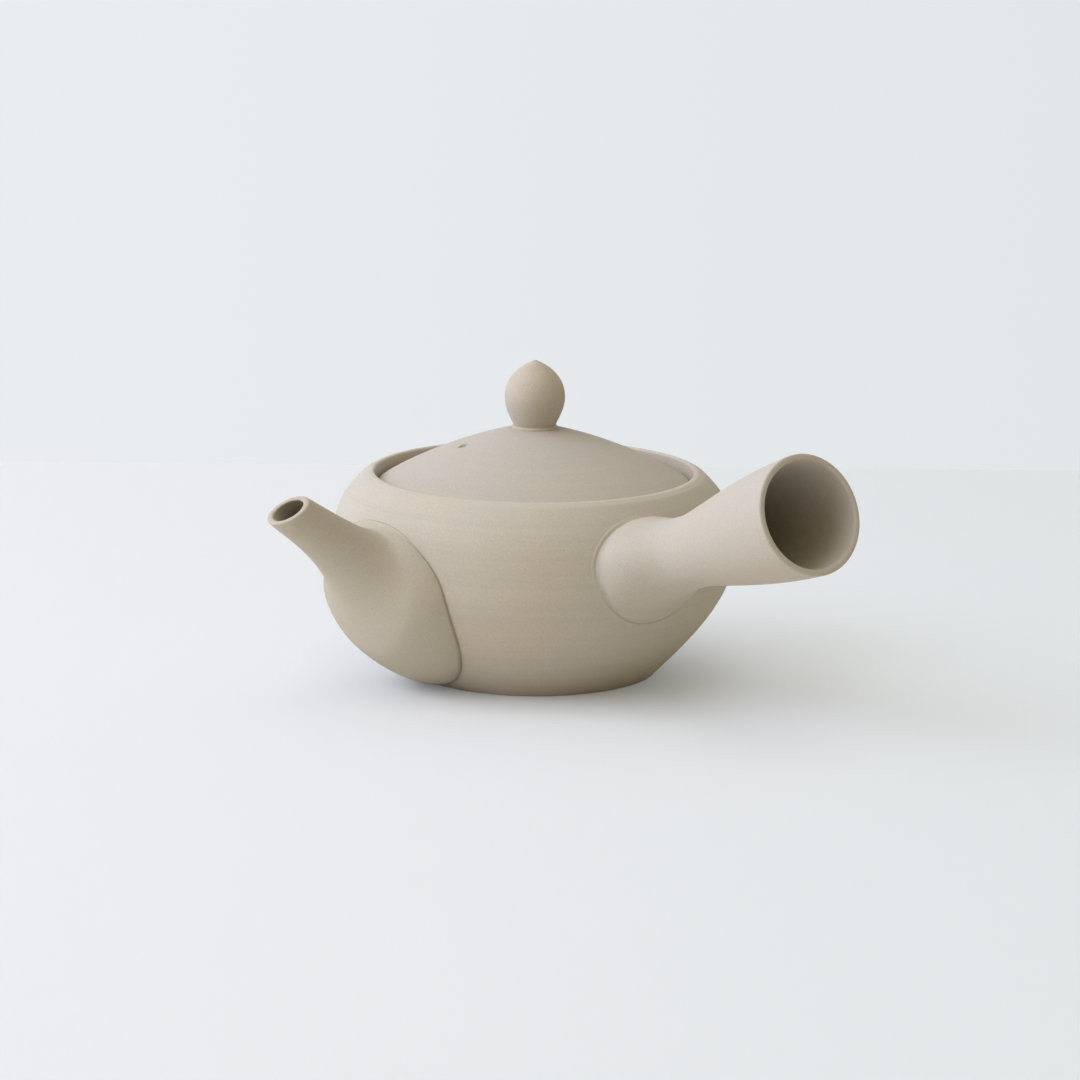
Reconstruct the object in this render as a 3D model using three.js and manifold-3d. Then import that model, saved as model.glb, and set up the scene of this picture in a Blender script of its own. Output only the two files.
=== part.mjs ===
// Side-handled clay teapot: a thrown pot with a spout, a strainer and a hollow handle pressed on
// with slip, and a loose lid with a bud-shaped knob.
// Millimetres, +Z up. The origin is on the pot's axis at the table. The handle points along -Y and
// the spout lies a little less than a quarter turn from it, close to -X.

import * as THREE from 'three';
import { mergeVertices } from 'three/addons/utils/BufferGeometryUtils.js';
import Module from 'manifold-3d';

const wasm = await Module();
wasm.setup();

// Driving dimensions in millimetres, angles in degrees

// Slip joints: a pressed-on piece sits on a thin layer of slip
const seatGap = 0.3;
const slipThickness = 0.8;
const spoutSlipInset = 0.5;
const handleSlipWidth = 0.6;
const cutOverrun = 4;

// Pot
const footRadius = 34.2;
const footBevel = 0.8;
const bellyRadius = 55.6;
const bellyHeight = 32.3;
const mouthRadius = 44.1;
const rimHeight = 56;
const rimRollWidth = 3.7;
const rimRollDepth = 1.4;
const lipRoll = 0.7;
const potWall = 3;
const floorThickness = 4;
const galleryDepth = 4.8;
const galleryWidth = 3.4;
const galleryThickness = 2.6;

// Lid
const lidClearance = 0.8;
const lidEdge = 1.3;
const lidRise = 16.6;
const lidWall = 2.8;
const flangeClearance = 0.9;
const flangeWall = 2.2;
const flangeDepth = 6.5;
const steamHoleRadius = 1.5;
const steamHoleReach = 20.1;
const steamHoleTurn = 161.4;

// Knob
const knobRadius = 8.35;
const knobBaseRadius = 6;
const knobHeight = 17.6;
const knobWaistHeight = 7.3;
const knobCollarStep = 0.4;

// Spout: a round bell on the wall, with a tapered tube that leaves its top. The mouth is cut aslant
const spoutTurn = 184.55;
const spoutSeatRise = 20.2;
const spoutEdgeHeight = 0.8;
const spoutSeatHalfWidth = 26;
const spoutBellDepth = 10.7;
const spoutBellTilt = -17.5;
const spoutTubeTilt = 38.3;
const spoutMouthReach = 83.75;
const spoutMouthHeight = 54.9;
const spoutMouthRadius = 5.85;
const spoutMouthLean = 30;
const spoutSwellHeight = 0;
const spoutWall = 1.7;

// Strainer: a pierced dome inside the pot, over the spout hole and clear of the gallery
const spoutHoleRadius = 15;
const strainerClearance = 2.8;
const strainerRadius = 18.5;
const strainerDepth = 11;
const strainerWall = 2;
const strainerHoleRadius = 1.15;
const strainerHolePitch = 4.6;
const strainerHoleRings = 3;

// Handle: a hollow bulb, neck and flared grip, thrown as one tube. The mouth is cut square
const handleTurn = -88.45;
const handleSeatHeight = 38.8;
const handleSeatRise = 12.75;
const handleSeatDrop = 15.5;
const handleSeatHalfWidth = 17.7;
const handleBulbDepth = 4.8;
const handleBulbTilt = -0.6;
const handleTubeTilt = 18.7;
const handleMouthReach = 121.7;
const handleMouthHeight = 64.7;
const handleMouthRadius = 16.2;
const handleSwellHeight = 1.5;
const handleWall = 1.8;

// How smooth the round forms are
const potSegments = 48;
const tubeSegments = 32;
const knobSegments = 24;
const domeSegments = 24;
const holeSegments = 6;
const outlineSteps = 5;
const rimSteps = 6;
const lidSteps = 6;
const knobSteps = 5;
const bellSteps = 5;
const blendSteps = 5;
const tubeSteps = 3;
const mergeTolerance = 1e-4;

// Shares that place the outlines' control points
const footHandleShare = 0.06;
const lowerBellyShare = 0.41;
const upperBellyShare = 0.54;
const shoulderHandleShare = 0.45;
const rimRollShare = 0.86;
const domeRadiusShares = [0.72, 0.3];
const domeRiseShares = [0.46, 0.87];
const spoutBell = { fullness: 0.54, root: [0.39, 0.26], rootRise: 0.68, blend: [0.41, 0.6] };
const handleBulb = { fullness: 0.39, root: [0.57, 0.6], rootRise: 0.2, blend: [0.58, 0.2] };
const knobCrownShares = [0.46, 0.6, 0.83];
const knobFlankShares = [0.42, 0.26, 0.63];

const degrees = THREE.MathUtils.degToRad;
const point = (r, z) => new THREE.Vector2(r, z);

// Solids from geometry and back

function solid(geometry) {
  const bare = geometry.clone();
  bare.deleteAttribute('normal');
  bare.deleteAttribute('uv');
  const merged = mergeVertices(bare, mergeTolerance);
  const corners = merged.index.array;
  const triangles = [];
  for (let i = 0; i < corners.length; i += 3) {
    const [a, b, c] = corners.slice(i, i + 3);
    if (a !== b && b !== c && c !== a) triangles.push(a, b, c);
  }
  return new wasm.Manifold(new wasm.Mesh({
    numProp: 3,
    vertProperties: merged.attributes.position.array,
    triVerts: Uint32Array.from(triangles),
  }));
}

function geometryOf(manifold) {
  const mesh = manifold.getMesh();
  const geometry = new THREE.BufferGeometry();
  geometry.setAttribute('position', new THREE.BufferAttribute(mesh.vertProperties, 3));
  geometry.setIndex(new THREE.BufferAttribute(mesh.triVerts, 1));
  geometry.computeVertexNormals();
  return geometry;
}

function revolve(outline, segments) {
  return solid(new THREE.LatheGeometry(outline, segments).rotateX(Math.PI / 2));
}

// A closed skin over a stack of rings of equal count, each turning right-handed about the way on
function loft(rings) {
  const count = rings[0].length;
  const last = rings.length - 1;
  const corners = rings.flat();
  const centreOf = (ring) => ring
    .reduce((sum, p) => sum.add(p), new THREE.Vector3())
    .divideScalar(count);
  corners.push(centreOf(rings[0]), centreOf(rings[last]));
  const start = corners.length - 2;
  const end = corners.length - 1;
  const index = [];
  for (let j = 0; j < count; j++) {
    const next = (j + 1) % count;
    for (let i = 0; i < last; i++) {
      const [a, b] = [i * count + j, i * count + next];
      const [c, d] = [b + count, a + count];
      index.push(a, b, c, a, c, d);
    }
    index.push(start, next, j);
    index.push(end, last * count + j, last * count + next);
  }
  const geometry = new THREE.BufferGeometry().setFromPoints(corners);
  geometry.setIndex(index);
  return solid(geometry);
}

// A bar of round section from one point to another, for drilling holes
function drill(from, to, radius, segments) {
  const along = new THREE.Vector3().subVectors(to, from);
  const bar = new THREE.CylinderGeometry(radius, radius, along.length(), segments);
  const turn = new THREE.Quaternion().setFromUnitVectors(
    new THREE.Vector3(0, 1, 0),
    along.clone().normalize(),
  );
  bar.applyQuaternion(turn);
  bar.translate(...new THREE.Vector3().addVectors(from, to).multiplyScalar(0.5));
  return solid(bar);
}

// The points of a curve moved sideways by a distance, positive to the right of its way on
function offset(curve, distance, steps) {
  const moved = [];
  for (let i = 0; i <= steps; i++) {
    const along = curve.getTangent(i / steps);
    moved.push(curve.getPoint(i / steps).add(point(along.y, -along.x).multiplyScalar(distance)));
  }
  return moved;
}

// Pot

const throatRadius = mouthRadius - galleryWidth;
const galleryHeight = rimHeight - galleryDepth;
const galleryUnderside = galleryHeight - galleryThickness;
const spoutSeatHeight = galleryUnderside - strainerClearance - strainerRadius;
const shoulder = point(mouthRadius + rimRollWidth, rimHeight - rimRollDepth);
const belly = point(bellyRadius, bellyHeight);
const foot = point(footRadius, 0);

// The wall's outer line from the foot to the belly, and from the belly to the shoulder
const lowerWall = new THREE.CubicBezierCurve(
  foot,
  foot.clone().lerp(belly, footHandleShare),
  point(bellyRadius, bellyHeight * (1 - lowerBellyShare)),
  belly,
);
const shoulderRise = shoulder.y - bellyHeight;
const shoulderReach = shoulderRise * shoulderHandleShare * Math.SQRT1_2;
const upperWall = new THREE.CubicBezierCurve(
  belly,
  point(bellyRadius, bellyHeight + shoulderRise * upperBellyShare),
  shoulder.clone().add(point(shoulderReach, -shoulderReach)),
  shoulder,
);

// The rim's roll, from the shoulder over to the mouth
const rimRollReach = rimRollDepth * rimRollShare;
const rimRoll = new THREE.CubicBezierCurve(
  shoulder,
  shoulder.clone().add(point(-rimRollReach, rimRollReach)),
  point(mouthRadius, rimHeight + lipRoll),
  point(mouthRadius, rimHeight - lipRoll),
);

function wallLine(distance) {
  return [
    ...offset(lowerWall, distance, outlineSteps),
    ...offset(upperWall, distance, outlineSteps).slice(1),
  ];
}

// The wall's radius and outward direction at a height, found by halving along its outline
function wallAt(height) {
  const curve = height < bellyHeight ? lowerWall : upperWall;
  let [low, high] = [0, 1];
  while (high - low > mergeTolerance) {
    const middle = (low + high) / 2;
    if (curve.getPoint(middle).y < height) low = middle;
    else high = middle;
  }
  const along = curve.getTangent(low);
  return { radius: curve.getPoint(low).x, outward: point(along.y, -along.x) };
}

// The room inside the wall's outline, grown by a distance and run on above and below
function potRoom(distance) {
  const line = wallLine(distance);
  const [first, last] = [line[0], line[line.length - 1]];
  const floor = Math.min(first.y, 0) - cutOverrun;
  const top = rimHeight + cutOverrun;
  return revolve(
    [point(0, floor), point(first.x, floor), ...line, point(last.x, top), point(0, top)],
    potSegments,
  );
}

const clay = (color) => new THREE.MeshStandardMaterial({ color, roughness: 0.92, metalness: 0 });

function piece(name, manifold, color) {
  const mesh = new THREE.Mesh(geometryOf(manifold), clay(color));
  mesh.name = name;
  return mesh;
}

// The frame of a place on the wall, in the plane of a spout or handle that points along +X
function seatAt(height) {
  const { radius, outward } = wallAt(height);
  return {
    centre: new THREE.Vector3(radius, 0, height),
    outward: new THREE.Vector3(outward.x, 0, outward.y),
  };
}

const spoutSeat = seatAt(spoutSeatHeight);

function makePot() {
  const inside = wallLine(-potWall)
    .filter((p) => p.y > floorThickness && p.y < galleryUnderside)
    .reverse();
  const corner = inside[inside.length - 1];
  const vessel = revolve([
    point(0, 0),
    point(footRadius - footBevel, 0),
    ...wallLine(0).slice(1),
    ...rimRoll.getPoints(rimSteps).slice(1),
    point(mouthRadius, galleryHeight),
    point(throatRadius, galleryHeight),
    point(throatRadius, galleryUnderside),
    ...inside,
    point(corner.x - (corner.y - floorThickness), floorThickness),
    point(0, floorThickness),
  ], potSegments);
  const spoutHole = drill(
    spoutSeat.centre.clone().addScaledVector(spoutSeat.outward, cutOverrun),
    spoutSeat.centre.clone().addScaledVector(spoutSeat.outward, -potWall - cutOverrun),
    spoutHoleRadius,
    domeSegments,
  ).rotate([0, 0, spoutTurn]);
  return piece('pot_body', vessel.subtract(spoutHole), 0xb5ad9e);
}

// Strainer: a dome of clay whose foot follows the inside of the wall, pierced in rings

function makeStrainer() {
  const group = new THREE.Group();
  group.rotation.z = degrees(spoutTurn);
  const domeRadius = (strainerRadius ** 2 + strainerDepth ** 2) / (2 * strainerDepth);
  const centre = spoutSeat.centre.clone()
    .addScaledVector(spoutSeat.outward, domeRadius - strainerDepth - potWall);
  const ball = (radius) => solid(
    new THREE.SphereGeometry(radius, domeSegments, domeSegments / 2).translate(...centre),
  );
  const shell = ball(domeRadius).subtract(ball(domeRadius - strainerWall));
  const inward = spoutSeat.outward.clone().negate();
  const side = new THREE.Vector3(0, 1, 0);
  let dome = shell.intersect(potRoom(-potWall - 2 * seatGap - slipThickness));
  const holeStep = strainerHolePitch / domeRadius;
  for (let ring = 0; ring <= strainerHoleRings; ring++) {
    const count = Math.max(1, 6 * ring);
    for (let i = 0; i < count; i++) {
      const way = inward.clone()
        .applyAxisAngle(side, ring * holeStep)
        .applyAxisAngle(inward, (2 * Math.PI * i) / count);
      const middle = centre.clone().addScaledVector(way, domeRadius - strainerWall / 2);
      const reach = way.clone().multiplyScalar(strainerWall);
      dome = dome.subtract(drill(
        middle.clone().sub(reach), middle.clone().add(reach), strainerHoleRadius, holeSegments,
      ));
    }
  }
  const slip = shell
    .intersect(potRoom(-potWall - seatGap))
    .subtract(potRoom(-potWall - seatGap - slipThickness));
  group.add(piece('strainer', dome, 0xb0a797));
  group.add(piece('strainer_slip_seam', slip, 0xaaa191));
  return group;
}

// Spout and handle: hollow forms. A bell swells from an oval on the wall, and a tube leaves it from a
// smaller oval, its root, with a soft blend between them.

const spoutForm = {
  turn: spoutTurn,
  seat: {
    height: spoutSeatHeight,
    rise: spoutSeatRise,
    drop: spoutSeatHeight - spoutEdgeHeight,
    halfWidth: spoutSeatHalfWidth,
  },
  bell: { depth: spoutBellDepth, tilt: spoutBellTilt, ...spoutBell },
  tube: { tilt: spoutTubeTilt, swell: spoutSwellHeight },
  mouth: {
    reach: spoutMouthReach,
    height: spoutMouthHeight,
    radius: spoutMouthRadius,
    lean: spoutMouthLean,
  },
  wall: spoutWall,
};

const handleForm = {
  turn: handleTurn,
  seat: {
    height: handleSeatHeight,
    rise: handleSeatRise,
    drop: handleSeatDrop,
    halfWidth: handleSeatHalfWidth,
  },
  bell: { depth: handleBulbDepth, tilt: handleBulbTilt, ...handleBulb },
  tube: { tilt: handleTubeTilt, swell: handleSwellHeight },
  mouth: {
    reach: handleMouthReach,
    height: handleMouthHeight,
    radius: handleMouthRadius,
    lean: 90 - handleTubeTilt,
  },
  wall: handleWall,
};

const aside = new THREE.Vector3(0, -1, 0);

// The direction at a tilt above the level, in the plane of the form
function tilted(tilt) {
  return new THREE.Vector3(Math.cos(degrees(tilt)), 0, Math.sin(degrees(tilt)));
}

// A point of the bell, from shares of the way from the seat's centre to its edge
function onBell(form, out, up, inset) {
  const { seat, bell } = form;
  const height = seat.height + up * ((up > 0 ? seat.rise : seat.drop) - inset);
  const { radius } = wallAt(height);
  const swing = ((seat.halfWidth - inset) * out) / radius;
  const fullness = Math.max(0, 1 - out * out - up * up) ** bell.fullness;
  return new THREE.Vector3(radius * Math.cos(swing), -radius * Math.sin(swing), height)
    .addScaledVector(tilted(bell.tilt), (bell.depth - inset) * fullness);
}

// One line of a skin, at a turn about the tube from its top, moved in from the outer face
function skinLine(form, turn, inset) {
  const { bell, tube, mouth } = form;
  const [up, out] = [Math.cos(turn), Math.sin(turn)];
  const tubeWay = tilted(tube.tilt);
  const ringWay = tilted(tube.tilt + 90).multiplyScalar(up).addScaledVector(aside, out);
  const mouthCentre = new THREE.Vector3(mouth.reach, 0, mouth.height);
  const edge = mouthCentre.clone().addScaledVector(ringWay, mouth.radius - inset);
  const mouthFace = tilted(90 - mouth.lean);
  edge.addScaledVector(tubeWay, mouthCentre.sub(edge).dot(mouthFace) / tubeWay.dot(mouthFace));

  const rootOut = bell.root[0] * out;
  const rootUp = bell.rootRise + bell.root[1] * up;
  const line = [];
  for (let i = 0; i <= bellSteps; i++) {
    const share = bell.blend[0] * (1 - Math.cos((Math.PI / 2) * (i / bellSteps)));
    const shareOut = THREE.MathUtils.lerp(out, rootOut, share);
    const shareUp = THREE.MathUtils.lerp(up, rootUp, share);
    line.push(onBell(form, shareOut, shareUp, inset));
  }
  const root = onBell(form, rootOut, rootUp, inset);
  const neck = root.clone().lerp(edge, bell.blend[1]);
  const blend = new THREE.QuadraticBezierCurve3(line[bellSteps], root, neck);
  const middle = neck.clone().lerp(edge, 0.5).addScaledVector(ringWay, tube.swell);
  const shank = new THREE.QuadraticBezierCurve3(neck, middle, edge);
  return [...line, ...blend.getPoints(blendSteps).slice(1), ...shank.getPoints(tubeSteps).slice(1)];
}

// A whole skin, run on behind the wall and past the mouth
function skin(form, inset, startRun, endRun) {
  const lines = [];
  for (let j = 0; j < tubeSegments; j++) {
    const line = skinLine(form, (2 * Math.PI * j) / tubeSegments, inset);
    line.unshift(line[0].clone().addScaledVector(tilted(form.bell.tilt), -startRun));
    const end = line[line.length - 1];
    if (endRun > 0) line.push(end.clone().addScaledVector(tilted(form.tube.tilt), endRun));
    lines.push(line);
  }
  return loft(lines[0].map((_, i) => lines.map((line) => line[i])));
}

// The fired piece and the slip under its edge, which stays back from the edge by an inset
function makePressed(form, name, slipInset, color, slipColor) {
  const group = new THREE.Group();
  group.rotation.z = degrees(form.turn);
  const bore = skin(form, form.wall, 2 * cutOverrun, cutOverrun);
  const shell = skin(form, 0, cutOverrun, 0).subtract(bore);
  const seam = skin(form, slipInset, cutOverrun, 0).subtract(bore);
  const fired = shell.subtract(potRoom(2 * seatGap + slipThickness));
  const slip = seam
    .intersect(potRoom(seatGap + slipThickness))
    .subtract(potRoom(seatGap));
  group.add(piece(name, fired, color));
  group.add(piece(`${name}_slip_seam`, slip, slipColor));
  return group;
}

// Lid, with its knob

const lidRadius = mouthRadius - lidClearance;
const lidSeatHeight = galleryHeight + seatGap;
const lidEdgeHeight = lidSeatHeight + lidEdge;
const lidDome = new THREE.CubicBezierCurve(
  point(lidRadius, lidEdgeHeight),
  point(lidRadius * domeRadiusShares[0], lidEdgeHeight + lidRise * domeRiseShares[0]),
  point(lidRadius * domeRadiusShares[1], lidEdgeHeight + lidRise * domeRiseShares[1]),
  point(0, lidEdgeHeight + lidRise),
);

function lidLine(distance) {
  const line = offset(lidDome, distance, lidSteps);
  line[line.length - 1].x = 0;
  return line;
}

// The room under the lid's dome, grown by a distance
function lidRoom(distance) {
  return revolve(
    [point(0, lidSeatHeight), point(lidRadius, lidSeatHeight), ...lidLine(distance)],
    potSegments,
  );
}

function makeLid() {
  const group = new THREE.Group();
  const flangeRadius = throatRadius - flangeClearance;
  const flangeBottom = lidSeatHeight - flangeDepth;
  const flangeInside = flangeRadius - flangeWall;
  const underside = lidLine(-lidWall).filter((p) => p.x < flangeInside).reverse();
  const cover = revolve([
    ...underside,
    point(flangeInside, lidSeatHeight),
    point(flangeInside, flangeBottom),
    point(flangeRadius, flangeBottom),
    point(flangeRadius, lidSeatHeight),
    point(lidRadius, lidSeatHeight),
    ...lidLine(0),
  ], potSegments);
  const steamTurn = degrees(steamHoleTurn);
  const steamTop = new THREE.Vector3(
    steamHoleReach * Math.cos(steamTurn),
    steamHoleReach * Math.sin(steamTurn),
    lidEdgeHeight + lidRise + cutOverrun,
  );
  const steamBottom = steamTop.clone().setZ(lidSeatHeight);
  const steamHole = drill(steamBottom, steamTop, steamHoleRadius, 2 * holeSegments);
  group.add(piece('lid', cover.subtract(steamHole), 0xbcb4a8));

  const knobFoot = lidEdgeHeight + lidRise;
  const waist = knobFoot + knobWaistHeight;
  const flank = new THREE.CubicBezierCurve(
    point(knobBaseRadius, knobFoot),
    point(
      THREE.MathUtils.lerp(knobBaseRadius, knobRadius, knobFlankShares[0]),
      knobFoot + knobWaistHeight * knobFlankShares[1],
    ),
    point(knobRadius, knobFoot + knobWaistHeight * knobFlankShares[2]),
    point(knobRadius, waist),
  );
  const crownRise = knobHeight - knobWaistHeight;
  const crown = new THREE.CubicBezierCurve(
    point(knobRadius, waist),
    point(knobRadius, waist + crownRise * knobCrownShares[0]),
    point(knobRadius * knobCrownShares[1], waist + crownRise * knobCrownShares[2]),
    point(0, waist + crownRise),
  );
  const bud = revolve([
    point(0, lidSeatHeight),
    point(knobBaseRadius, lidSeatHeight),
    ...flank.getPoints(knobSteps),
    ...crown.getPoints(knobSteps).slice(1),
  ], knobSegments);
  const collarRadius = knobBaseRadius + knobCollarStep;
  const collar = revolve([
    point(0, lidSeatHeight),
    point(collarRadius, lidSeatHeight),
    point(collarRadius, knobFoot + cutOverrun),
    point(0, knobFoot + cutOverrun),
  ], knobSegments);
  const slip = collar
    .intersect(lidRoom(seatGap + slipThickness))
    .subtract(lidRoom(seatGap));
  group.add(piece('knob', bud.subtract(lidRoom(2 * seatGap + slipThickness)), 0xad9f8f));
  group.add(piece('knob_slip_collar', slip, 0xa6998a));
  return group;
}

const teapot = new THREE.Group();
teapot.name = 'clay_teapot';
teapot.add(makePot());
teapot.add(makeStrainer());
teapot.add(makePressed(spoutForm, 'spout', spoutSlipInset, 0xafa697, 0xa59c8c));
teapot.add(makePressed(handleForm, 'handle', -handleSlipWidth, 0xbdb2a5, 0xb0a698));
teapot.add(makeLid());
teapot.updateMatrixWorld(true);

export default teapot;
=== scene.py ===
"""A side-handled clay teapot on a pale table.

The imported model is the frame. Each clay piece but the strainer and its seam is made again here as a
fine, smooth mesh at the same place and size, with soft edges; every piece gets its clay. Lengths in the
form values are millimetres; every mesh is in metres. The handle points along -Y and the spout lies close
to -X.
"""

import math

import bpy
import numpy as np
from mathutils import Matrix, Vector


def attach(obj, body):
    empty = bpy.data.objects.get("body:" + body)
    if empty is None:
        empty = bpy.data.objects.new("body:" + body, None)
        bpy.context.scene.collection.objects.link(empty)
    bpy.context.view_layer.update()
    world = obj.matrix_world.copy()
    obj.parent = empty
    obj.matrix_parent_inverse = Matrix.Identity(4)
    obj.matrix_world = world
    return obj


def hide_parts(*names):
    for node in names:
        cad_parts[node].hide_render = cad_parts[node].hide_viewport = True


MM = 0.001

# Pot
FOOT_RADIUS = 34.2
FOOT_SOFTNESS = 2.6
BELLY_RADIUS = 55.6
BELLY_HEIGHT = 32.3
SHOULDER_RADIUS = 47.8
SHOULDER_HEIGHT = 54.6
RIM_HEIGHT = 56.0
RIM_ROLL = 1.2
LIP_ROLL = 0.7
RIM_STEPS = 32
RIM_GROOVE = {"depth": 0.07, "place": 0.3, "width": 0.1}
MOUTH_RADIUS = 44.1
GALLERY_HEIGHT = 51.2
GALLERY_UNDERSIDE = 48.6
THROAT_RADIUS = 40.7
POT_WALL = 3.0
FLOOR_THICKNESS = 4.0
WALL_SHARES = {"foot": 0.06, "below": 0.41, "above": 0.54, "shoulder": 0.45}
WALL_STEPS = {"lower": 30, "upper": 24}

# Lid
LID_RADIUS = 43.3
LID_SEAT = 51.5
LID_EDGE = 1.3
LID_RISE = 16.6
LID_WALL = 2.8
DOME_SHARES = {"flank": (0.72, 0.46), "crown": (0.3, 0.87)}
DOME_STEPS = 48
FLANGE_RADIUS = 39.8
FLANGE_WALL = 2.2
FLANGE_BOTTOM = 45.0
STEAM_HOLE = {"radius": 1.4, "reach": 20.1, "turn": 161.4}

# Knob
KNOB_RADIUS = 8.35
KNOB_BASE = 6.0
KNOB_HEIGHT = 17.6
KNOB_WAIST = 7.3
KNOB_SUNK = 1.2
KNOB_SHARES = {"base": (0.42, 0.26), "flank": 0.63, "bud": 0.46, "tip": (0.6, 0.83)}
KNOB_STEPS = {"flank": 14, "bud": 28}

SPOUT = {
    "turn": 184.55,
    "seat": {"height": 27.3, "rise": 20.2, "drop": 26.5, "half_width": 26.0},
    "bell": {"depth": 10.7, "tilt": -17.5, "fullness": 0.54, "root": (0.39, 0.26), "root_rise": 0.68},
    "blend": (0.41, 0.6),
    "tube": {"tilt": 38.3, "swell": 0.0},
    "mouth": {"reach": 83.75, "height": 54.9, "radius": 5.85, "lean": 30.0},
    "wall": 1.7,
    "lip": 0.7,
    "hole": 15.0,
}

HANDLE = {
    "turn": -88.13,
    "seat": {"height": 39.53, "rise": 11.96, "drop": 16.59, "half_width": 17.99},
    "bulb": {"tilt": 21.2, "start": (1.7, 12.7, 0.2), "end": (14.1, 8.2, 19.7)},
    "neck": {"length": 49.8, "radius": 9.76, "share": 0.05},
    "tube": {"tilt": 20.76, "swell": 2.58},
    "mouth": {"reach": 120.85, "height": 64.47, "radius": 16.06, "lean": 69.24},
    "wall": 1.8,
    "lip": 0.75,
}

# The slip's sections, as (inset from the seat's edge, lift over the wall), where it was left as pressed
# and where a thumb smeared it
SPOUT_SLIP = {
    "pressed": [
        (2.4, 0.02), (2.4, 0.6), (0.7, 0.6), (0.5, 0.3), (0.3, 0.1), (0.2, 0.02), (0.1, -0.1), (0.6, -0.4),
    ],
    "smeared": [
        (2.4, 0.02), (2.4, 0.6), (0.6, 0.55), (0.2, 0.42), (0.0, 0.28), (-0.2, 0.15), (-0.5, 0.02),
        (0.6, -0.5),
    ],
}
HANDLE_SLIP = {
    "pressed": [
        (2.4, 0.02), (2.4, 0.6), (0.6, 0.6), (0.3, 0.38), (0.05, 0.22), (-0.2, 0.12), (-0.5, 0.05),
        (-0.8, 0.01), (-1.2, -0.04), (0.6, -0.5),
    ],
    "smeared": [
        (2.4, 0.02), (2.4, 0.6), (0.5, 0.5), (0.2, 0.1), (-0.2, 0.02), (-0.45, 0.1), (-0.65, 0.12),
        (-0.9, 0.05), (-1.2, -0.05), (0.0, -0.5),
    ],
}

POT_SEGMENTS = 192
TUBE_SEGMENTS = 144
KNOB_SEGMENTS = 96
DRILL_SEGMENTS = 64
BELL_RINGS = 28
BLEND_RINGS = 16
SHANK_RINGS = 10
LIP_STEPS = 5
SMOOTH_PASSES = 10

# How far the spout's and the handle's edge lies over the wall
EDGE_LIFT = 0.3

# Clay colours, as a camera writes them
POT_COLOUR = (189, 181, 167)
SPOUT_COLOUR = (180, 172, 156)
# Darker than the spout's clay: painted shade inside its bore
SPOUT_BORE_SHADED_COLOUR = (176, 165, 146)
HANDLE_COLOUR = (187, 179, 166)
# Darker than the handle's clay: painted shade inside its bore
HANDLE_BORE_SHADED_COLOUR = (164, 156, 139)
LID_COLOUR = (184, 176, 164)
KNOB_COLOUR = (187, 177, 161)
SLIP_COLOUR = (187, 179, 163)
STRAINER_COLOUR = (180, 171, 154)

# The photograph's viewpoint
CAMERA_AZIMUTH = -34.0
CAMERA_ELEVATION = 13.6
CAMERA_DISTANCE = 1.3
CAMERA_AIM = (0.00617, 0.00591, 0.0345)
CAMERA_ROLL = 0.55
CAMERA_LENS = 155.1

# Table and wall, in metres. The wall stands this far behind the pot's axis at its left end, and a little
# further at its right end, by a share of its half width
WALL_WAY = 0.285
WALL_SIDE = 0.004
STAGE_NEAR = 2.5
STAGE_WIDE = 3.0
STAGE_TALL = 3.0
STAGE_BLEND = 0.25

# Colours of the table and the wall: as lamps light them, then as the camera sees them at left and right,
# where the right is darker: painted shade
TABLE_COLOURS = ((240, 237, 231), (236, 237, 238), (229, 233, 234))
BACKDROP_COLOURS = ((235, 239, 244), (234, 237, 240), (225, 230, 233))
TABLE_SHADE = (0.88, 0.88, 0.89, 1.0)
# Round the pot's foot, and a little towards the camera, the table glows less, which deepens the pot's
# shadow there: painted shadow
TABLE_GLOW = {"far": 0.5, "near": 0.15}
BACKDROP_GLOW = 1.0
GLOW_SHIFT = -0.045
GLOW_REACH = (0.03, 0.12)

# Light
DAY_COLOUR = (0.917, 1.0, 1.298)
ROOM_COLOUR = (1.107, 1.0, 0.72, 1.0)
ROOM_LEFT = 0.38
ROOM_ABOVE = 0.765
# Each lamp's place to the photograph's right, away from its camera and up, in metres, and its power
LAMPS = (
    ("window_back", (-1.7, 0.05, 0.8), 12.0),
    ("window_middle", (-1.5, 0.1, 1.5), 6.9),
    ("window_front", (-1.4, -0.9, 1.3), 11.5),
    ("window_top", (0.0, -0.2, 2.0), 2.8),
)
LAMP_AIM = (0, 0, 0.04)
LAMP_SIZE = 1.1

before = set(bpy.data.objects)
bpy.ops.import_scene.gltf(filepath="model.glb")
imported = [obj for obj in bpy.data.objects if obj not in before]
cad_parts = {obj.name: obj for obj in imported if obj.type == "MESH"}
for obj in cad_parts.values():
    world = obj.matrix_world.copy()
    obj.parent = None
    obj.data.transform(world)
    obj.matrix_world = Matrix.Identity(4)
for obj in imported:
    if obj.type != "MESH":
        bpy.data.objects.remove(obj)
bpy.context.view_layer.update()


# Curves and outlines, as arrays of points

def bezier(points, steps):
    """Points along a Bezier curve of any degree."""
    points = np.asarray(points, float)
    share = np.linspace(0.0, 1.0, steps + 1)[:, None]
    degree = len(points) - 1
    return sum(
        math.comb(degree, i) * share**i * (1 - share) ** (degree - i) * point
        for i, point in enumerate(points)
    )


def normals(line):
    """Directions to the right of an outline's way on."""
    along = np.gradient(line, axis=0)
    along /= np.linalg.norm(along, axis=1)[:, None]
    return np.stack([along[:, 1], -along[:, 0]], axis=1)


def soften(corners, steps=6):
    """An outline with rounded corners, from points (r, z) or (r, z, radius)."""
    points = [np.array(corner[:2], float) for corner in corners]
    line = []
    for i, corner in enumerate(corners):
        if len(corner) == 2:
            line.append(points[i])
            continue
        before, after = points[i - 1] - points[i], points[(i + 1) % len(points)] - points[i]
        start = points[i] + before * min(0.5, corner[2] / np.linalg.norm(before))
        end = points[i] + after * min(0.5, corner[2] / np.linalg.norm(after))
        line.extend(bezier([start, points[i], end], steps))
    return np.array(line)


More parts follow.
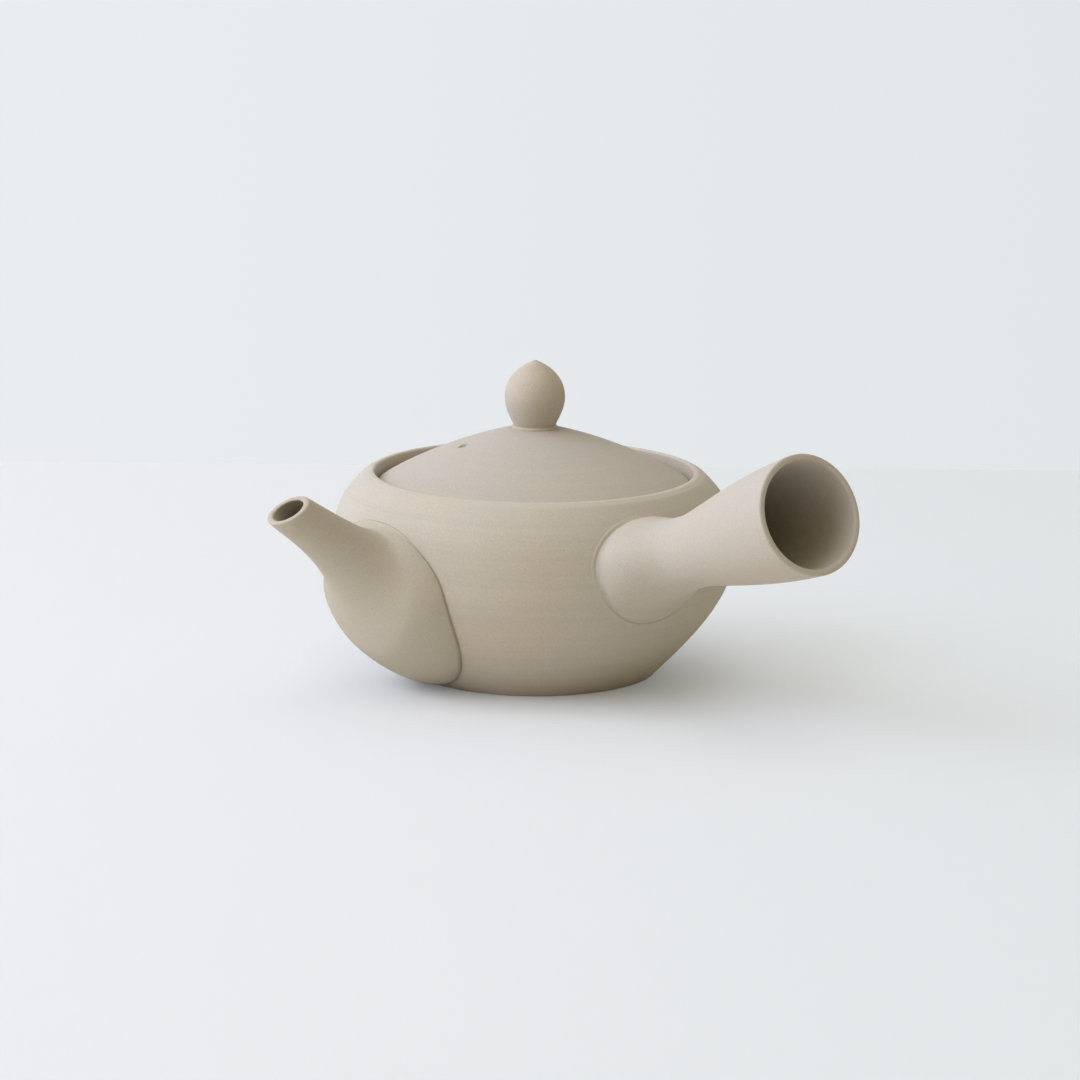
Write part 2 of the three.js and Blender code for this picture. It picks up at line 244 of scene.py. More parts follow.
def wall_outline():
    """The pot's outer line, from its foot over the belly to the shoulder."""
    foot = np.array([FOOT_RADIUS, 0.0])
    belly = np.array([BELLY_RADIUS, BELLY_HEIGHT])
    shoulder = np.array([SHOULDER_RADIUS, SHOULDER_HEIGHT])
    rise = SHOULDER_HEIGHT - BELLY_HEIGHT
    lean = rise * WALL_SHARES["shoulder"] * math.sqrt(0.5)
    lower = bezier([
        foot,
        foot + (belly - foot) * WALL_SHARES["foot"],
        (BELLY_RADIUS, BELLY_HEIGHT * (1 - WALL_SHARES["below"])),
        belly,
    ], WALL_STEPS["lower"])
    upper = bezier([
        belly,
        (BELLY_RADIUS, BELLY_HEIGHT + rise * WALL_SHARES["above"]),
        shoulder + (lean, -lean),
        shoulder,
    ], WALL_STEPS["upper"])
    return np.concatenate([lower, upper[1:]])


WALL = wall_outline()
WALL_NORMALS = normals(WALL)


def wall_at(height):
    """The wall's radius and outward direction at heights."""
    radius = np.interp(height, WALL[:, 1], WALL[:, 0])
    outward = [np.interp(height, WALL[:, 1], WALL_NORMALS[:, i]) for i in (0, 1)]
    return radius, outward


# Meshes

def add_object(name, mesh, node, body):
    piece = bpy.data.objects.new(name, mesh)
    bpy.context.scene.collection.objects.link(piece)
    for polygon in mesh.polygons:
        polygon.use_smooth = True
    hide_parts(node)
    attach(piece, body)
    return piece


def grid_mesh(name, points, close_rings):
    """A skin over points[ring, place], in millimetres, closed round each ring."""
    rings, places = points.shape[:2]
    faces = []
    for i in range(rings if close_rings else rings - 1):
        near, far = i * places, ((i + 1) % rings) * places
        for j in range(places):
            k = (j + 1) % places
            faces.append((near + j, near + k, far + k, far + j))
    mesh = bpy.data.meshes.new(name)
    mesh.from_pydata((points.reshape(-1, 3) * MM).tolist(), [], faces)
    mesh.update()
    return mesh


def lathe(name, outline, segments=POT_SEGMENTS):
    """A turned solid from an outline that starts and ends on the axis, or closes on itself."""
    outline = np.asarray(outline, float)
    on_axis = [point[0] < 1e-6 for point in (outline[0], outline[-1])]
    body = outline[1 if on_axis[0] else 0:len(outline) - (1 if on_axis[1] else 0)]
    turn = np.linspace(0, 2 * math.pi, segments, endpoint=False)
    points = np.stack([
        body[:, :1] * np.cos(turn),
        body[:, :1] * np.sin(turn),
        np.repeat(body[:, 1:], segments, axis=1),
    ], axis=-1)
    if not on_axis[0]:
        return grid_mesh(name, points, close_rings=True)
    mesh = grid_mesh(name, points, close_rings=False)
    corners = [tuple(v.co) for v in mesh.vertices]
    faces = [tuple(p.vertices) for p in mesh.polygons]
    last = (len(body) - 1) * segments
    for base, height, flip in ((0, outline[0][1], True), (last, outline[-1][1], False)):
        tip = len(corners)
        corners.append((0.0, 0.0, height * MM))
        for j in range(segments):
            edge = (base + j, base + (j + 1) % segments)
            faces.append((tip, edge[1], edge[0]) if flip else (tip, edge[0], edge[1]))
    whole = bpy.data.meshes.new(name)
    whole.from_pydata(corners, [], faces)
    whole.update()
    return whole


def cut(mesh, start, end, radius):
    """Bore a round hole through a mesh between two points, in millimetres."""
    way = Vector(end) - Vector(start)
    count = DRILL_SEGMENTS
    turn = np.linspace(0, 2 * math.pi, count, endpoint=False)
    ring = np.stack([np.cos(turn) * radius, np.sin(turn) * radius, np.zeros(count)], axis=1)
    pose = Matrix.Translation(start) @ way.to_track_quat("Z", "Y").to_matrix().to_4x4()
    corners = [pose @ Vector(p) for p in ring] + [pose @ Vector((p[0], p[1], way.length)) for p in ring]
    faces = [(j, (j + 1) % count, count + (j + 1) % count, count + j) for j in range(count)]
    faces += [tuple(range(count - 1, -1, -1)), tuple(range(count, 2 * count))]
    tool_mesh = bpy.data.meshes.new("drill")
    tool_mesh.from_pydata([c * MM for c in corners], [], faces)
    tool = bpy.data.objects.new("drill", tool_mesh)
    blank = bpy.data.objects.new("blank", mesh)
    for thing in (tool, blank):
        bpy.context.scene.collection.objects.link(thing)
    boolean = blank.modifiers.new("bore", "BOOLEAN")
    boolean.operation = "DIFFERENCE"
    boolean.solver = "EXACT"
    boolean.object = tool
    graph = bpy.context.evaluated_depsgraph_get()
    bored = bpy.data.meshes.new_from_object(blank.evaluated_get(graph))
    for thing in (tool, blank):
        bpy.data.objects.remove(thing)
    return bored


# Pot

def inner_wall():
    """The wall's inner face, from under the gallery down to the floor's rounded corner."""
    line = WALL - WALL_NORMALS * POT_WALL
    lowest, highest = FLOOR_THICKNESS + 3, GALLERY_UNDERSIDE - 1
    return line[(line[:, 1] > lowest) & (line[:, 1] < highest)][::-1]


def spout_direction():
    """The spout's seat on the wall and the way straight out of it."""
    turn = math.radians(SPOUT["turn"])
    radius, outward = wall_at(SPOUT["seat"]["height"])
    flat = Vector((math.cos(turn), math.sin(turn), 0))
    seat = flat * float(radius) + Vector((0, 0, SPOUT["seat"]["height"]))
    return seat, flat * float(outward[0]) + Vector((0, 0, float(outward[1])))


def make_pot():
    inside = inner_wall()
    # The soft foot takes the place of the wall's first points
    foot_points = 2
    rim_roll = bezier([
        (SHOULDER_RADIUS, SHOULDER_HEIGHT),
        (SHOULDER_RADIUS - RIM_ROLL, SHOULDER_HEIGHT + RIM_ROLL),
        (MOUTH_RADIUS, RIM_HEIGHT + LIP_ROLL),
        (MOUTH_RADIUS, RIM_HEIGHT - LIP_ROLL),
    ], RIM_STEPS)
    share = np.linspace(0, 1, RIM_STEPS + 1)[:, None]
    groove = RIM_GROOVE["depth"] * np.exp(-((share - RIM_GROOVE["place"]) / RIM_GROOVE["width"]) ** 2)
    rim_roll = rim_roll - groove * math.sqrt(0.5)
    outline = soften([
        (0, 0),
        (FOOT_RADIUS - 4, 0),
        (FOOT_RADIUS + 0.1, 0, FOOT_SOFTNESS),
        *WALL[foot_points:],
        *rim_roll[1:],
        (MOUTH_RADIUS, GALLERY_HEIGHT, 0.6),
        (THROAT_RADIUS, GALLERY_HEIGHT, 0.5),
        (THROAT_RADIUS, GALLERY_UNDERSIDE, 0.8),
        *inside,
        (inside[-1][0] - 3, FLOOR_THICKNESS, 3),
        (0, FLOOR_THICKNESS),
    ])
    seat, outward = spout_direction()
    outside, within = seat + outward * 4, seat - outward * 7
    mesh = cut(lathe("pot_clay_form", outline), outside, within, SPOUT["hole"])
    return add_object("pot", mesh, "pot_body", "pot")


# Spout and handle

def along(rise):
    """A direction in the form's upright plane, from its rise in degrees."""
    return np.array([math.cos(math.radians(rise)), 0.0, math.sin(math.radians(rise))])


ASIDE = np.array([0.0, -1.0, 0.0])


def on_wall(form, out, up, inset, lift=0.0):
    """Points over the wall, from shares of the way from the seat's centre to its edge."""
    seat = form["seat"]
    height = seat["height"] + up * (np.where(up > 0, seat["rise"], seat["drop"]) - inset)
    radius, outward = wall_at(height)
    swing = (seat["half_width"] - inset) * out / radius
    reach = radius + outward[0] * lift
    return np.stack([
        reach * np.cos(swing), -reach * np.sin(swing), height + outward[1] * lift,
    ], axis=-1)


def on_bell(form, out, up, inset):
    """Points over the bell, from the same shares as on_wall's."""
    bell = form["bell"]
    fullness = np.clip(1 - out**2 - up**2, 0, None) ** bell["fullness"]
    bulge = fullness[..., None] * (bell["depth"] - inset) * along(bell["tilt"])
    return on_wall(form, out, up, inset) + bulge


def mouth_centre(form):
    return np.array([form["mouth"]["reach"], 0, form["mouth"]["height"]])


def tube_end(form, inset):
    """A tube's way, the directions round it and the ring at its mouth."""
    turn = np.linspace(0, 2 * math.pi, TUBE_SEGMENTS, endpoint=False)
    up, out = np.cos(turn), np.sin(turn)
    mouth, tube = form["mouth"], form["tube"]
    way = along(tube["tilt"])
    ring = up[:, None] * along(tube["tilt"] + 90) + out[:, None] * ASIDE
    centre = mouth_centre(form)
    edge = centre + ring * (mouth["radius"] - inset)
    face = along(90 - mouth["lean"])
    edge = edge + ((centre - edge) @ face / (way @ face))[:, None] * way
    return up, out, way, ring, centre, edge


def bulb_skin(form, inset):
    """Rings from the seat's edge over a long bulb and a soft neck to the mouth."""
    up, out, way, ring, centre, edge = tube_end(form, inset)
    bulb, neck, tube = form["bulb"], form["neck"], form["tube"]
    seat = on_wall(form, out, up, inset)
    start, end = (
        (side + (np.where(up > 0, top, bottom) - side) * up**2)[:, None]
        for top, side, bottom in (bulb["start"], bulb["end"])
    )
    narrow = centre - way * neck["length"] + ring * (neck["radius"] - inset)
    rings = [seat, *bezier_rings([
        seat,
        seat + start * along(bulb["tilt"]),
        narrow - way * end,
        narrow,
    ], BELL_RINGS)]
    reach = np.linalg.norm(edge - narrow, axis=1)[:, None]
    rings.extend(bezier_rings([
        narrow,
        narrow + way * reach * neck["share"],
        edge - (edge - narrow) / 3 + ring * tube["swell"],
        edge,
    ], BLEND_RINGS))
    return np.array(rings)


def bell_skin(form, inset):
    """Rings from the seat's edge over a bell and a root to the mouth."""
    up, out, _, ring, _, edge = tube_end(form, inset)
    bell, tube = form["bell"], form["tube"]
    root_out = bell["root"][0] * out
    root_up = bell["root_rise"] + bell["root"][1] * up
    rings = []
    for step in np.linspace(0, 1, BELL_RINGS + 1):
        share = form["blend"][0] * (1 - math.cos(math.pi / 2 * step))
        rings.append(on_bell(form, out + (root_out - out) * share, up + (root_up - up) * share, inset))
    root = on_bell(form, root_out, root_up, inset)
    neck = root + (edge - root) * form["blend"][1]
    rings.extend(bezier_rings([rings[-1], root, neck], BLEND_RINGS))
    middle = (neck + edge) / 2 + ring * tube["swell"]
    rings.extend(bezier_rings([neck, middle, edge], SHANK_RINGS))
    return np.array(rings)


def bezier_rings(rings, steps):
    """Rings along Bezier curves between rings, without the first."""
    degree = len(rings) - 1
    return [
        sum(math.comb(degree, i) * s**i * (1 - s) ** (degree - i) * ring for i, ring in enumerate(rings))
        for s in np.linspace(0, 1, steps + 1)[1:]
    ]


def smooth(rings, passes):
    """Rings with the bends between them eased, their ends as they were."""
    for _ in range(passes):
        rings = np.concatenate([
            rings[:1], rings[:-2] / 4 + rings[1:-1] / 2 + rings[2:] / 4, rings[-1:],
        ])
    return rings


def cut_back(rings, length):
    """Rings that stop a length short of the last one, all the way round."""
    last, before = rings[-1], rings[-2]
    step = last - before
    reach = np.linalg.norm(step, axis=1)[:, None]
    return np.concatenate([rings[:-1], [last - step / reach * np.minimum(length, reach * 0.8)]])


def turned(points, form):
    """Points or a direction, swung round the pot's axis to where the form is."""
    turn = math.radians(form["turn"])
    spin = np.array([
        [math.cos(turn), -math.sin(turn), 0],
        [math.sin(turn), math.cos(turn), 0],
        [0, 0, 1],
    ])
    return points @ spin.T


def seam_rings(form, section, smeared=None, where=None):
    """Rings over the wall round the seat, from (inset, lift) pairs.

    Where a share of the turn says so, they pass into the smeared pairs.
    """
    turn = np.linspace(0, 2 * math.pi, TUBE_SEGMENTS, endpoint=False)
    up, out = np.cos(turn), np.sin(turn)
    share = where(out, up) if where else 0.0
    rings = []
    for near, far in zip(section, smeared or section):
        inset, lift = (near[i] + (far[i] - near[i]) * share for i in (0, 1))
        rings.append(on_wall(form, out, up, inset, lift))
    return np.array(rings)


def ramp(value, low, high):
    """A smooth rise from 0 at low to 1 at high."""
    share = np.clip((value - low) / (high - low), 0, 1)
    return share * share * (3 - 2 * share)


def make_pressed(form, name):
    """A hollow form with a soft edge over the wall and a soft lip at its mouth."""
    skin = bulb_skin if "bulb" in form else bell_skin
    outer = smooth(skin(form, 0.0), SMOOTH_PASSES)
    inner = smooth(skin(form, form["wall"]), SMOOTH_PASSES)
    rim_out, rim_in = outer[-1], inner[-1]
    across = rim_in - rim_out
    thickness = np.linalg.norm(across, axis=1)[:, None]
    nudge = across / thickness * np.minimum(form["lip"], thickness * 0.45)
    outer, inner = cut_back(outer, form["lip"]), cut_back(inner, form["lip"])
    lip = [
        *bezier_rings([outer[-1], rim_out, rim_out + nudge], LIP_STEPS),
        rim_in - nudge,
        *bezier_rings([rim_in - nudge, rim_in, inner[-1]], LIP_STEPS)[:-1],
    ]
    foot = seam_rings(form, [(0.9, EDGE_LIFT), (0.35, EDGE_LIFT), (0.08, EDGE_LIFT + 0.15)])
    inner_foot = seam_rings(form, [(form["wall"] + 0.1, EDGE_LIFT)])
    # The soft edge takes the place of the skin's first rings
    skip = 4
    rings = np.concatenate([foot, outer[skip:], lip, inner[:skip:-1], inner_foot])
    mesh = grid_mesh(f"{name}_form", turned(rings, form), close_rings=True)
    # The bore's faces take the second material, which paints shade inside the bore
    bore_start = (len(foot) + len(outer) - skip + len(lip) - 3) * TUBE_SEGMENTS
    for polygon in mesh.polygons:
        polygon.material_index = int(polygon.index >= bore_start)
    return add_object(name, mesh, name, "pot")


def make_slip(form, name, node, slip, where):
    """The slip round a form's edge. where gives how far it was smeared at each place."""
    rings = turned(seam_rings(form, slip["pressed"], slip["smeared"], where), form)
    mesh = grid_mesh(f"{name}_form", rings, close_rings=True)
    return add_object(name, mesh, node, "pot")


# Lid and knob

def lid_dome():
    """The dome's outer line, from its edge to its peak."""
    top = LID_SEAT + LID_EDGE
    flank, crown = DOME_SHARES["flank"], DOME_SHARES["crown"]
    return bezier([
        (LID_RADIUS, top),
        (LID_RADIUS * flank[0], top + LID_RISE * flank[1]),
        (LID_RADIUS * crown[0], top + LID_RISE * crown[1]),
        (0, top + LID_RISE),
    ], DOME_STEPS)


def make_lid():
    dome = lid_dome()
    under = dome - normals(dome) * LID_WALL
    inside = FLANGE_RADIUS - FLANGE_WALL
    under = under[(under[:, 0] < inside - 2) & (under[:, 0] > 0.5)][::-1]
    peak = LID_SEAT + LID_EDGE + LID_RISE
    outline = soften([
        (0, peak - LID_WALL),
        *under,
        (inside, LID_SEAT + 1.5, 2),
        (inside, FLANGE_BOTTOM, 0.7),
        (FLANGE_RADIUS, FLANGE_BOTTOM, 0.7),
        (FLANGE_RADIUS, LID_SEAT, 0.5),
        (LID_RADIUS, LID_SEAT, 0.5),
        (LID_RADIUS, LID_SEAT + LID_EDGE, 0.6),
        *dome[2:-1],
        (0, peak),
    ])
    turn = math.radians(STEAM_HOLE["turn"])
    foot = Vector((math.cos(turn), math.sin(turn), 0)) * STEAM_HOLE["reach"]
    mesh = cut(
        lathe("lid_form", outline),
        foot + Vector((0, 0, LID_SEAT)),
        foot + Vector((0, 0, peak + 4)),
        STEAM_HOLE["radius"],
    )
    return add_object("lid_cover", mesh, "lid", "lid")


def make_knob():
    foot = LID_SEAT + LID_EDGE + LID_RISE
    waist = foot + KNOB_WAIST
    crown = KNOB_HEIGHT - KNOB_WAIST
    base, tip = KNOB_SHARES["base"], KNOB_SHARES["tip"]
    flank = bezier([
        (KNOB_BASE, foot),
        (KNOB_BASE + (KNOB_RADIUS - KNOB_BASE) * base[0], foot + KNOB_WAIST * base[1]),
        (KNOB_RADIUS, foot + KNOB_WAIST * KNOB_SHARES["flank"]),
        (KNOB_RADIUS, waist),
    ], KNOB_STEPS["flank"])
    bud = bezier([
        (KNOB_RADIUS, waist),
        (KNOB_RADIUS, waist + crown * KNOB_SHARES["bud"]),
        (KNOB_RADIUS * tip[0], waist + crown * tip[1]),
        (0, waist + crown),
    ], KNOB_STEPS["bud"])
    sunk = foot - KNOB_SUNK
    outline = [(0, sunk), (KNOB_BASE - 0.5, sunk), *flank, *bud[1:]]
    mesh = lathe("knob_form", outline, KNOB_SEGMENTS)
    return add_object("lid_knob", mesh, "knob", "lid")


def make_knob_collar():
    """The low ring of slip round the knob's foot, laid over the dome."""
    peak = LID_SEAT + LID_EDGE + LID_RISE
    dome = lid_dome()[::-1]
    radii = [KNOB_BASE - 1.2, KNOB_BASE - 0.4, KNOB_BASE + 0.05, KNOB_BASE + 0.22, KNOB_BASE + 0.25]
    rise = [0.2, 0.75, 0.7, 0.5, 0.08]
    over = [(r, np.interp(r, dome[:, 0], dome[:, 1]) + h) for r, h in zip(radii, rise)]
    under = [(radii[-1], over[-1][1] - 0.25), (radii[0], peak - KNOB_SUNK)]
    mesh = lathe("collar_form", over[::-1] + under[::-1], KNOB_SEGMENTS)
    return add_object("knob_collar", mesh, "knob_slip_collar", "lid")


# Clay

def linear(red, green, blue):
    """A colour as a camera writes it, 0 to 255, as scene light."""
    def convert(value):
        value /= 255
        return value / 12.92 if value <= 0.04045 else ((value + 0.055) / 1.055) ** 2.4
    return (convert(red), convert(green), convert(blue), 1.0)


class Nodes:
    """Short calls for building a material's node tree."""

    def __init__(self, name, owner=None):
        self.material = owner or bpy.data.materials.new(name)
        self.material.use_nodes = True
        self.tree = self.material.node_tree
        self.tree.nodes.clear()

    def add(self, kind, settings=None, **inputs):
        node = self.tree.nodes.new(kind)
        for key, value in (settings or {}).items():
            setattr(node, key, value)
        for key, value in inputs.items():
            self.put(node, key.replace("_", " "), value)
        return node

    def put(self, node, socket, value):
        target = node.inputs[int(socket)] if str(socket).isdigit() else node.inputs[socket]
        if isinstance(value, bpy.types.NodeSocket):
            self.tree.links.new(value, target)
        else:
            target.default_value = value

    def math(self, operation, first, second=0.0):
        node = self.add("ShaderNodeMath", {"operation": operation})
        for socket, value in enumerate((first, second)):
            self.put(node, str(socket), value)
        return node.outputs[0]

    def span(self, value, low, high, to_low=0.0, to_high=1.0):
        node = self.add("ShaderNodeMapRange", {"clamp": True, "interpolation_type": "SMOOTHSTEP"})
        for socket, item in zip(("Value", "From Min", "From Max", "To Min", "To Max"),
                                (value, low, high, to_low, to_high)):
            self.put(node, socket, item)
        return node.outputs[0]

    def noise(self, vector, scale, detail=2.0, roughness=0.5):
        node = self.add("ShaderNodeTexNoise", Scale=scale, Detail=detail, Roughness=roughness)
        self.put(node, "Vector", vector)
        return node.outputs["Fac"]

    def mix(self, share, first, second, blend="MIX"):
        node = self.add("ShaderNodeMix", {"data_type": "RGBA", "blend_type": blend})
        self.put(node, "0", share)
        self.put(node, "6", first)
        self.put(node, "7", second)
        return node.outputs[2]


def clay(name, colour, rings, edge=None, lines=1.0):
    """Unglazed clay with a fine grain and faint lines left by the wheel.

    rings gives a value that is the same along each line. edge holds a place from 0 to 1, how far it
    changes the tone, and the tone there: a tone at a lip, partly painted highlight, or painted shade in a
    bore.
    """
    n = Nodes(name)
    place = n.add("ShaderNodeTexCoord").outputs["Object"]
    axes = n.add("ShaderNodeSeparateXYZ", Vector=place)
    x, y, z = axes.outputs[:3]
    level = rings(n, x, y, z)
    line_place = n.add("ShaderNodeCombineXYZ", X=n.math("MULTIPLY", x, 9.0),
                       Y=n.math("MULTIPLY", y, 9.0), Z=n.math("MULTIPLY", level, 620.0))
    throwing = n.noise(line_place.outputs[0], 1.0, 3.0, 0.6)
    cloud = n.noise(place, 38.0, 3.0, 0.55)
    grain = n.noise(place, 2300.0, 3.0, 0.7)
    speck = n.noise(place, 900.0, 1.0)

    def tone(share):
        return linear(*(min(c * share, 250) for c in colour))

    warm = linear(colour[0] + 1.5, colour[1], colour[2] - 2.5)
    cool = linear(colour[0] - 2, colour[1] - 1, colour[2] + 1.5)
    base = n.mix(n.span(cloud, 0.3, 0.7), cool, warm)
    base = n.mix(n.span(throwing, 0.35, 0.7, 0.0, 0.55 * lines), base, tone(0.955))
    base = n.mix(n.span(grain, 0.5, 0.7, 0.0, 0.7), base, tone(1.06))
    base = n.mix(n.span(grain, 0.5, 0.32, 0.0, 0.7), base, tone(0.94))
    base = n.mix(n.span(speck, 0.76, 0.8, 0.0, 0.45), base, tone(0.78))
    if edge:
        base = n.mix(n.math("MULTIPLY", edge[0](n, x, y, z), edge[1]), base, tone(edge[2]))

    relief = n.math("ADD", n.math("MULTIPLY", throwing, lines), n.math("MULTIPLY", grain, 0.45))
    bump = n.add("ShaderNodeBump", Strength=0.5, Distance=0.0001, Height=relief)
    shader = n.add("ShaderNodeBsdfPrincipled", Base_Color=base, Normal=bump.outputs[0],
                   Roughness=n.span(grain, 0.3, 0.7, 0.84, 0.96))
    shader.inputs["Specular IOR Level"].default_value = 0.25
    n.put(n.add("ShaderNodeOutputMaterial"), "Surface", shader.outputs[0])
    return n.material


def height_rings(n, x, y, z):
    """Rings round the pot, by their height."""
    return z


def radius_rings(n, x, y, z):
    """Rings round the pot, by their radius."""
    return n.math("SQRT", n.math("ADD", n.math("MULTIPLY", x, x), n.math("MULTIPLY", y, y)))


def level_along(direction):
    """A value that rises along a direction."""
    def level(n, x, y, z):
        flat = n.math("ADD", n.math("MULTIPLY", x, direction[0]), n.math("MULTIPLY", y, direction[1]))
        return n.math("ADD", flat, n.math("MULTIPLY", z, direction[2]))
    return level


def tube_rings(form):
    """Rings across a tube: the way along its axis."""
    return level_along(turned(along(form["tube"]["tilt"]), form))


def above(height, softness):
    """Over a height, in millimetres."""
    def edge(n, x, y, z):
        return n.span(z, (height - softness) * MM, height * MM)
    return edge


def past(form, softness):
    """Near a tube's mouth."""
    level = tube_rings(form)
    reach = along(form["tube"]["tilt"]) @ mouth_centre(form)

    def edge(n, x, y, z):
        return n.span(level(n, x, y, z), (reach - softness) * MM, reach * MM)
    return edge


def deep(form, length, aside=0.0, down=0.0):
    """Painted shade in a bore: the way in from just outside its mouth, less far at one side and below."""
    tilt = form["tube"]["tilt"]
    way = along(tilt) - ASIDE * aside + along(tilt - 90) * down
    reach = way @ mouth_centre(form)
    level = level_along(turned(way, form))

    def edge(n, x, y, z):
        return n.span(level(n, x, y, z), (reach + 6) * MM, (reach - length) * MM)
    return edge


def assign(piece, *materials):
    piece.data.materials.clear()
    for material in materials:
        piece.data.materials.append(material)


pot = make_pot()
spout = make_pressed(SPOUT, "spout")
handle = make_pressed(HANDLE, "handle")
spout_slip = make_slip(
    SPOUT, "spout_slip", "spout_slip_seam", SPOUT_SLIP,
    lambda out, up: ramp(up, 0.7, 0.97),
)
handle_slip = make_slip(
    HANDLE, "handle_slip", "handle_slip_seam", HANDLE_SLIP,
    lambda out, up: ramp(out, 0.25, 0.6) * ramp(up, -0.4, 0.2),
)
lid = make_lid()
knob = make_knob()
collar = make_knob_collar()

# The pot is lighter over its lip: a painted highlight on the rolled rim, with some rubbed wear
assign(pot, clay("pot_clay", POT_COLOUR, height_rings, (above(RIM_HEIGHT + 0.3, 1.8), 0.3, 1.04)))
assign(
    spout,
    # Lighter towards the mouth: a painted highlight on the lip, with some rubbed wear
    clay("spout_clay", SPOUT_COLOUR, tube_rings(SPOUT), (past(SPOUT, 2.5), 0.4, 1.05), lines=0.3),
    # Darker than the clay and darker still further in: painted shade inside the bore
    clay("spout_bore_painted_shade", SPOUT_BORE_SHADED_COLOUR, tube_rings(SPOUT), (deep(SPOUT, 20), 0.8, 0.6), lines=0.3),
)
assign(
    handle,
    clay("handle_clay", HANDLE_COLOUR, tube_rings(HANDLE), (past(HANDLE, 1.2), 0.4, 0.97), lines=0.5),
    # Darker than the clay and much darker further in, most at one side and below: painted shade inside the
    # bore
    clay("handle_bore_painted_shade", HANDLE_BORE_SHADED_COLOUR, tube_rings(HANDLE), (deep(HANDLE, 18, 1.3, 0.6), 1.0, 0.2),
         lines=0.8),
)
assign(lid, clay("lid_clay", LID_COLOUR, radius_rings, lines=0.6))
assign(knob, clay("knob_clay", KNOB_COLOUR, height_rings, lines=0.4))
slip_clay = clay("joining_slip", SLIP_COLOUR, height_rings, lines=0.2)
for piece in (spout_slip, handle_slip, collar):
    assign(piece, slip_clay)
strainer_clay = clay("strainer_clay", STRAINER_COLOUR, height_rings, lines=0.2)
for node in ("strainer", "strainer_slip_seam"):
    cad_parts[node].material_slots[0].material = strainer_clay


# Table, wall and light

def camera_axes():
    """The level ways to the photograph's right and away from its camera."""
    azimuth = math.radians(CAMERA_AZIMUTH)
    right = Vector((math.cos(azimuth), math.sin(azimuth), 0))
    away = Vector((-math.sin(azimuth), math.cos(azimuth), 0))
    return right, away


def pale(name, colours, glow, glow_near=None):
    """A pale surface that the camera sees partly by its own glow.

    Its colour changes from left to right. Where glow_near is given, it glows less near the pot's foot,
    which deepens the pot's shadow there: painted shadow.
    """
    n = Nodes(name)
    colour, seen_left, seen_right = colours
    right, away = camera_axes()
    place = n.add("ShaderNodeTexCoord").outputs["Object"]
    side = n.add("ShaderNodeVectorMath", {"operation": "DOT_PRODUCT"})
    n.put(side, "0", place)
    n.put(side, "1", right)
    # The seen colour darkens from left to right: painted shade
    share = n.span(side.outputs["Value"], -STAGE_BLEND, STAGE_BLEND)
    seen = n.mix(share, linear(*seen_left), linear(*seen_right))
    lit = n.add("ShaderNodeBsdfPrincipled", Base_Color=linear(*colour), Roughness=0.6)
    dim = n.add("ShaderNodeBsdfDiffuse", Color=n.mix(1.0, seen, TABLE_SHADE, "MULTIPLY"))
    bright = n.add("ShaderNodeEmission", Color=seen)
    view = n.add("ShaderNodeMixShader")
    # Less glow round the foot, shifted towards the camera: painted shadow
    if glow_near is not None:
        shift = n.add("ShaderNodeVectorMath", {"operation": "SUBTRACT"})
        n.put(shift, "0", place)
        n.put(shift, "1", away * GLOW_SHIFT)
        flat = n.add("ShaderNodeVectorMath", {"operation": "LENGTH"})
        n.put(flat, "0", shift.outputs[0])
        glow = n.span(flat.outputs["Value"], *GLOW_REACH, glow_near, glow)
    n.put(view, "0", glow)
    n.put(view, "1", dim.outputs[0])
    n.put(view, "2", bright.outputs[0])
    pick = n.add("ShaderNodeMixShader")
    n.put(pick, "0", n.add("ShaderNodeLightPath").outputs["Is Camera Ray"])
    n.put(pick, "1", lit.outputs[0])
    n.put(pick, "2", view.outputs[0])
    n.put(n.add("ShaderNodeOutputMaterial"), "Surface", pick.outputs[0])
    return n.material


def plane(name, corners, material):
    mesh = bpy.data.meshes.new(name)
    mesh.from_pydata(corners, [], [(0, 1, 2, 3)])
    thing = bpy.data.objects.new(name, mesh)
    bpy.context.scene.collection.objects.link(thing)
    thing.data.materials.append(material)


def set_stage():
    right, away = camera_axes()
    left_foot = away * WALL_WAY - right * STAGE_WIDE
    right_foot = away * (WALL_WAY + WALL_SIDE * STAGE_WIDE) + right * STAGE_WIDE
    near = away * STAGE_NEAR
    up = Vector((0, 0, STAGE_TALL))
    table = pale("table", TABLE_COLOURS, TABLE_GLOW["far"], TABLE_GLOW["near"])
    wall = pale("wall", BACKDROP_COLOURS, BACKDROP_GLOW)
    plane("floor", [left_foot - near, right_foot - near, right_foot, left_foot], table)
    plane("backdrop", [left_foot, right_foot, right_foot + up, left_foot + up], wall)


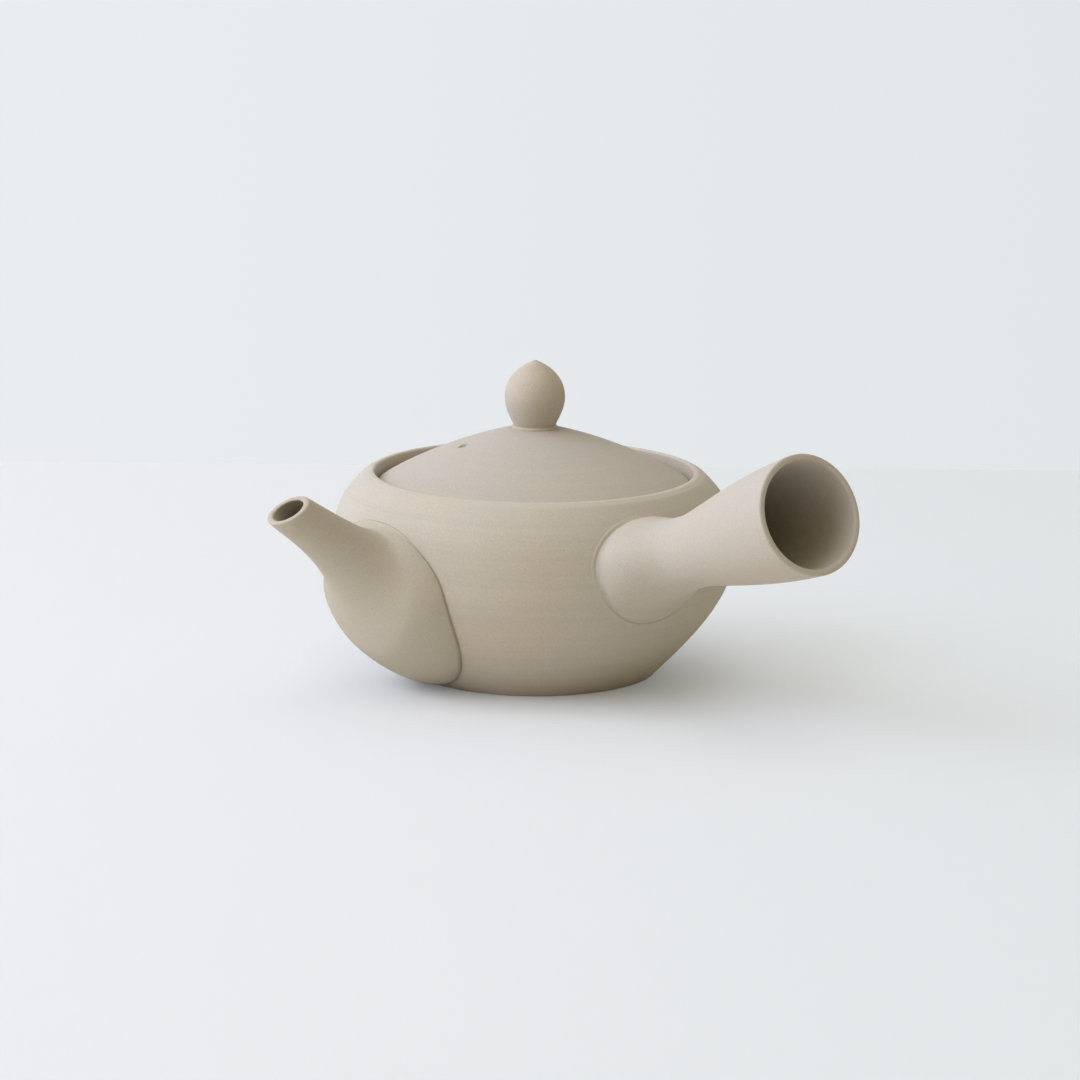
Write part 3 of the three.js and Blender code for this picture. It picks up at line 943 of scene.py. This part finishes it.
def area_light(name, place, power):
    light = bpy.data.lights.new(name, "AREA")
    light.shape = "DISK"
    light.size = LAMP_SIZE
    light.energy = power
    light.color = DAY_COLOUR
    thing = bpy.data.objects.new(name, light)
    bpy.context.scene.collection.objects.link(thing)
    thing.location = place
    thing.rotation_euler = (Vector(LAMP_AIM) - Vector(place)).to_track_quat("-Z", "Y").to_euler()


def set_light():
    """A wide window at the left, and a room that is bright above and to the left."""
    right, away = camera_axes()
    up = Vector((0, 0, 1))
    for name, place, power in LAMPS:
        area_light(name, right * place[0] + away * place[1] + up * place[2], power)
    n = Nodes("room", bpy.data.worlds.new("room"))
    place = n.add("ShaderNodeTexCoord").outputs["Generated"]
    share = 0.0
    for way, strength in ((-right + up * 0.5 - away * 0.2, ROOM_LEFT), (up, ROOM_ABOVE)):
        dot = n.add("ShaderNodeVectorMath", {"operation": "DOT_PRODUCT"})
        n.put(dot, "0", place)
        n.put(dot, "1", way.normalized())
        part = n.math("MULTIPLY", n.math("MAXIMUM", dot.outputs["Value"], 0.0), strength)
        share = n.math("ADD", share, part)
    background = n.add("ShaderNodeBackground", Color=ROOM_COLOUR, Strength=share)
    n.put(n.add("ShaderNodeOutputWorld"), "Surface", background.outputs[0])
    bpy.context.scene.world = n.material


def set_camera():
    azimuth, elevation = math.radians(CAMERA_AZIMUTH), math.radians(CAMERA_ELEVATION)
    place = CAMERA_DISTANCE * Vector((
        math.sin(azimuth) * math.cos(elevation),
        -math.cos(azimuth) * math.cos(elevation),
        math.sin(elevation),
    ))
    back = (place - Vector(CAMERA_AIM)).normalized()
    right = Vector((0, 0, 1)).cross(back).normalized()
    up = back.cross(right)
    roll = math.radians(CAMERA_ROLL)
    turned_right = right * math.cos(roll) + up * math.sin(roll)
    turned_up = up * math.cos(roll) - right * math.sin(roll)
    camera = bpy.data.cameras.new("camera")
    camera.lens = CAMERA_LENS
    camera.sensor_width = 36
    thing = bpy.data.objects.new("camera", camera)
    bpy.context.scene.collection.objects.link(thing)
    pose = Matrix((turned_right, turned_up, back)).transposed().to_4x4()
    pose.translation = place
    thing.matrix_world = pose
    bpy.context.scene.camera = thing


set_stage()
set_light()
set_camera()
bpy.context.scene.view_settings.view_transform = "Standard"
